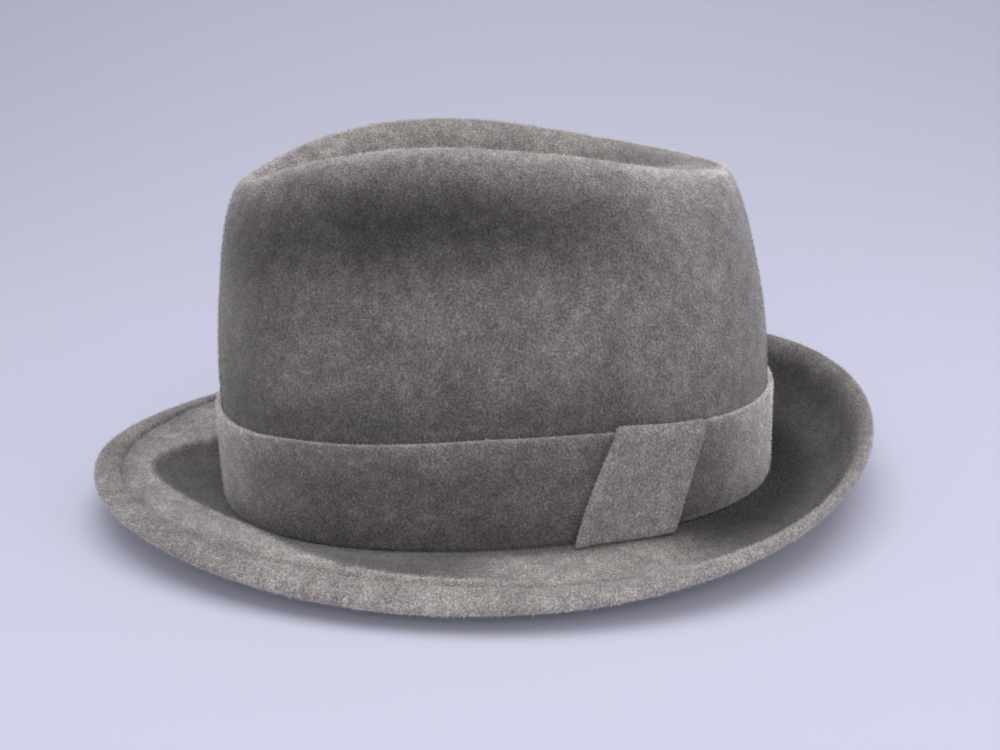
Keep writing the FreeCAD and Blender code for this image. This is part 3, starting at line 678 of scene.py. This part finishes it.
# %% Leather, tape, seam strip and label
TAPE_OUT, LEATHER_OUT, LEATHER_IN, TAPE_IN = -2.6, -3.35, -4.35, -4.95
SWEAT_LOW, SWEAT_TOP, STITCH_LEVEL = 2.6, 50.6, 7.5
leather_strip = strip_rings(SWEAT_LOW, lambda angle: SWEAT_TOP, LEATHER_OUT, LEATHER_IN, soft=0.5)
sweatband = put_on(ring_piece("leather_sweatband", leather_strip, levels=0), leather, "sweatband")
fold = [(12, TAPE_OUT), (8, TAPE_OUT), (4, TAPE_OUT), (1.4, TAPE_OUT), (0.35, TAPE_OUT - 0.1), (0.15, -3.35),
        (0.15, -4.2), (0.35, TAPE_IN + 0.1), (1.4, TAPE_IN), (3.2, TAPE_IN), (5, TAPE_IN)]
fold += [(5, TAPE_IN + 0.35), (3.2, TAPE_IN + 0.35), (1.4, TAPE_IN + 0.35), (0.7, TAPE_IN + 0.45),
         (0.5, -4.1), (0.5, -3.45), (0.7, TAPE_OUT - 0.45), (1.4, TAPE_OUT - 0.35), (4, TAPE_OUT - 0.35),
         (8, TAPE_OUT - 0.35), (12, TAPE_OUT - 0.35)]
tape = put_on(ring_piece("reed_tape", [on_wall(height, out) for height, out in fold], levels=0),
              grosgrain, "sweatband_tape")


def inside_patch(name, middle, wide, low, high, out, thick, grid):
    """A flat piece on the leather: middle is an angle and wide its width in millimetres."""
    radius = (skin(middle + 0.01, 1.8, out) - skin(middle - 0.01, 1.8, out)).length / 0.02 / MM

    def place(across, up):
        angle = middle + across * wide / 2 / radius
        return skin(angle, at_height(angle, low + (high - low) * (up + 1) / 2), out)
    return patch_piece(name, place, *grid, thick, levels=0)


seam = inside_patch("leather_seam_strip", pi, 5, STITCH_LEVEL + 4, SWEAT_TOP - 2, LEATHER_IN - 0.3, 0.55,
                    (4, 30))
put_on(seam, strip_leather, "sweatband_back_seam")
label = inside_patch("blank_size_label", pi * 0.8, 22, SWEAT_TOP - 22, SWEAT_TOP - 8, LEATHER_IN - 0.27,
                     0.26, (16, 10))
put_on(label, label_cloth, "size_label")

# %% [markdown]
# ## Stitches
# The stitches are single turns of thread, pulled a little into the leather, so each is a slim
# drop: a sphere drawn out along its way round the hat. All of a row are one mesh.

# %% Stitches and tacks
def stitch_row(name, spots, across, long):
    """A row of stitches. spots gives for each its middle and the way it lies."""
    bm = bmesh.new()
    for middle, way in spots:
        turn = way.to_track_quat("Z", "Y").to_matrix().to_4x4()
        stretch = Matrix.Diagonal((across / 2 * MM, across / 2 * MM, long / 2 * MM, 1))
        bmesh.ops.create_uvsphere(bm, u_segments=10, v_segments=8, radius=1,
                                  matrix=Matrix.Translation(middle) @ turn @ stretch)
    return finish_mesh(bm, name)


def wall_spot(angle, height, out):
    return skin(angle, at_height(angle, height), out)


STITCHES, TACKS = 96, 6
row = []
for index in range(STITCHES):
    angle = 2 * pi * (index + 0.5) / STITCHES
    middle = wall_spot(angle, STITCH_LEVEL, LEATHER_IN - 0.45)
    row.append((middle, wall_spot(angle + 0.01, STITCH_LEVEL + 0.1, LEATHER_IN - 0.45) - middle))
put_on(stitch_row("sweatband_stitches", row, 0.5, 2.6), thread, "sweatband_stitching")
row = []
for index in range(TACKS):
    angle = 2 * pi * (index + 0.5) / TACKS
    middle = wall_spot(angle, band_top(angle) - 2.0, BAND_OUT)
    row.append((middle, wall_spot(angle, band_top(angle) - 1.0, BAND_OUT) - middle))
put_on(stitch_row("band_tack_stitches", row, 0.4, 2.2), tack_thread, "band_tacks")

# %% [markdown]
# ## The bow
# The bow is 7 mm ribbon: two loops drawn together by a knot. Each side is a grid that widens from
# the knot, with the soft pleats that a knot presses into a ribbon, and the knot is a small block
# with rounded edges.

# %% The bow
BOW_Y, BOW_Z, BOW_HALF, BOW_TALL = 100.0, 9.87, 11.0, 3.5
bm = bmesh.new()
bmesh.ops.create_grid(bm, x_segments=40, y_segments=16, size=1)
for v in bm.verts:
    across, up = v.co.x, v.co.y
    tall = 1.9 + (BOW_TALL - 1.9) * min(1, abs(across) * 1.3)
    pleat = 0.16 * cos(up * 3.5 * pi) * (1 - abs(across)) + 0.25 * cos(across * pi)
    v.co = Vector((across * (BOW_HALF - 0.5 * up * up), BOW_Y + 0.25 - pleat, BOW_Z + up * tall)) * MM
bmesh.ops.solidify(bm, geom=bm.faces[:], thickness=0.5 * MM)
made = bmesh.ops.create_cube(bm, size=1, matrix=Matrix.Translation(Vector((0, BOW_Y + 0.3, BOW_Z)) * MM)
                             @ Matrix.Diagonal((3.6 * MM, 1.4 * MM, 5.4 * MM, 1)))
knot_edges = list({edge for v in made["verts"] for edge in v.link_edges})
bmesh.ops.bevel(bm, geom=knot_edges, offset=0.5 * MM, offset_type="OFFSET", segments=3, profile=0.5,
                affect="EDGES", material=-1)
put_on(finish_mesh(bm, "ribbon_bow"), ribbon, "sweatband_bow")

# %% [markdown]
# ## The lining
# The lining is satin in two pieces. The side piece is a straight band of cloth, gathered to the
# shape of the crown, so it keeps many soft upright folds; it hangs free above the leather. The tip
# follows the crease, and a covered cord hides the seam between the two.

# %% The lining
LINING_OUT, LINING_FREE, SEAM_PLACE, LINING = -2.6, -3.5, 1.06, 0.3


def hanging(share, inward):
    """A ring of the side lining, from its lower edge (-1) over the leather's top (0) to the seam (1)."""
    def point(angle):
        if share <= 0:
            return wall_spot(angle, 14 + (SWEAT_TOP - 14) * (share + 1), LINING_OUT - inward)
        start, end = at_height(angle, SWEAT_TOP), SEAM_PLACE + 0.008
        folds = 0.5 + 0.5 * sin(angle * 46 + 2.0 * sin(angle * 3))
        swell = 0.9 * folds * sin(pi * min(share, 0.98)) * (1 - 0.4 * share)
        return skin(angle, start + (end - start) * share, LINING_FREE - inward - swell)
    return point


steps = [-1, -0.8, -0.5, -0.2, 0, 0.14, 0.24, 0.36, 0.5, 0.64, 0.76, 0.88, 0.96, 1]
rings = [hanging(share, 0) for share in reversed(steps)] + [hanging(share, LINING) for share in steps]
lining = put_on(ring_piece("satin_side_lining", rings, levels=0, around=384), satin, "lining_side")
places = TIP + [1.02, 1.04, SEAM_PLACE - 0.008]
rings = [on_sheet(place, LINING_FREE) for place in [0] + places]
rings += [on_sheet(place, LINING_FREE - LINING) for place in places[::-1] + [0]]
lining_tip = put_on(ring_piece("satin_tip_lining", rings, poles=True, levels=0), satin_tip, "lining_tip")
places = [0.06, 0.16, 0.26, 0.36, 0.44, 0.5]
rings = [on_sheet(place, LINING_FREE - LINING - 0.25) for place in [0] + places]
rings += [on_sheet(place, LINING_FREE - 2 * LINING - 0.25) for place in places[::-1] + [0]]
shield = put_on(ring_piece("clear_sweat_shield", rings, poles=True, levels=0), film, "sweat_shield")


def cord_ring(turn, place, out, across):
    """One of the rings of a round cord that runs along the sheet at a place."""
    def point(angle):
        speed = (sheet_point(angle, place + 0.002) - sheet_point(angle, place - 0.002)).length / 0.004
        return skin(angle, place - across / 2 * sin(turn) / speed, out + across / 2 * cos(turn))
    return point


rings = [cord_ring(2 * pi * k / 12, SEAM_PLACE, LINING_FREE - LINING - 1.05, 1.6) for k in range(12)]
put_on(ring_piece("lining_piping_cord", rings, levels=0), cord_cover, "lining_piping")

# %% [markdown]
# ## The reed
# The reed is a hard round cord inside the folded tape. The frame's own solid has the right shape,
# so it stays and only gets its finish, set on the object and not on the mesh.

# %% The reed's finish
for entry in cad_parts["sweatband_reed"].material_slots:
    entry.link, entry.material = "OBJECT", reed_plastic

# %% [markdown]
# ## The cut sizes
# Every piece of leather or cloth is cut flat before it is bent round the hat. The lengths of the
# leather and of the side lining are measured on their own rings, so they follow the hat's size. The
# side lining is cut as a plain strip, and its folds take up what is too much for the narrower top
# of the crown.

# %% Cut sizes of the cloth pieces
def way_round(place_at):
    spots = [place_at(2 * pi * k / 360) for k in range(361)]
    return sum((b - a).length for a, b in zip(spots, spots[1:]))


foot_round = way_round(on_wall(STITCH_LEVEL, LEATHER_IN))
wall_long = way_round(on_wall(SWEAT_TOP, LINING_FREE))
print("round the leather", round(foot_round, 3), "round the lining", round(wall_long, 3))

# %% [markdown]
# ## Floor, light and camera
# The hat stands on a pale sheet that curves up behind it. A wide soft lamp hangs overhead, one
# stands behind the tab so that its edges show, and one on the camera's side lightens the shadow.

# %% Floor and backdrop
bm = bmesh.new()
bmesh.ops.create_grid(bm, x_segments=1, y_segments=60, size=1)
for v in bm.verts:
    along = (v.co.y + 1) * 3.4 - 4.0
    bend = min(max(along - 0.28, 0) / 1.5, pi / 2)
    v.co = (v.co.x * 5, (min(along, 0.28) + 1.5 * sin(bend)), 1.5 * (1 - cos(bend)))
floor = finish_mesh(bm, "floor")
floor.rotation_euler = Euler((0, 0, radians(81.4)))
bpy.context.view_layer.update()
floor.data.transform(floor.matrix_world)
floor.rotation_euler = Euler((0, 0, 0))
paper, tree, output = new_material("matt_backdrop_paper")
shader = add_node(tree, "ShaderNodeBsdfPrincipled", {"Base Color": linear("#dcddef"), "Roughness": 0.8,
                                                     "Specular IOR Level": 0.2})
tree.links.new(shader.outputs[0], output.inputs[0])
floor.data.materials.append(paper)
print("floor faces", len(floor.data.polygons))


# %% Light
def soft_lamp(name, place, target, side, power, tint="#ffffff"):
    """A square area lamp that looks at a point."""
    lamp = bpy.data.lights.new(name, "AREA")
    lamp.size, lamp.energy, lamp.color = side, power, linear(tint)[:3]
    thing = bpy.data.objects.new(name, lamp)
    scene.collection.objects.link(thing)
    thing.location = place
    thing.rotation_euler = (Vector(target) - Vector(place)).to_track_quat("-Z", "Y").to_euler()
    return thing


soft_lamp("overhead", (0.05, 0.05, 1.0), (0, 0, 0.05), 1.0, 5.9, "#fbfbff")
soft_lamp("behind_the_tab", (0.9, 1.3, 0.9), (0, 0, 0.08), 0.9, 3.0, "#fffdfa")
soft_lamp("camera_side", (1.3, -0.3, 0.64), (0, 0, 0.02), 1.0, 6.0, "#fbfbff")
world = bpy.data.worlds.new("studio")
world.use_nodes = True
world.node_tree.nodes["Background"].inputs[0].default_value = linear("#f2f2f6")
world.node_tree.nodes["Background"].inputs[1].default_value = 0.39
scene.world = world

# %% Camera
DISTANCE, RISE, SWING, ROLL = 457.4 * MM, radians(19.75), radians(-8.59), radians(-1.88)
aim = Vector((0, 7.64, 37.36)) * MM
back = Vector((cos(SWING) * cos(RISE), sin(SWING) * cos(RISE), sin(RISE)))
right = (-back).cross(Vector((0, 0, 1))).normalized()
up = right.cross(-back)
lens = bpy.data.cameras.new("camera")
lens.sensor_width, lens.lens = 36.0, 36.0 * 1.212
lens.clip_start, lens.clip_end = 0.01, 20
camera = bpy.data.objects.new("camera", lens)
scene.collection.objects.link(camera)
axes = (right * cos(ROLL) + up * sin(ROLL), up * cos(ROLL) - right * sin(ROLL), back)
camera.matrix_world = Matrix.Translation(aim + back * DISTANCE) @ Matrix(axes).transposed().to_4x4()
scene.camera = camera
print("camera at", [round(v, 3) for v in camera.location])
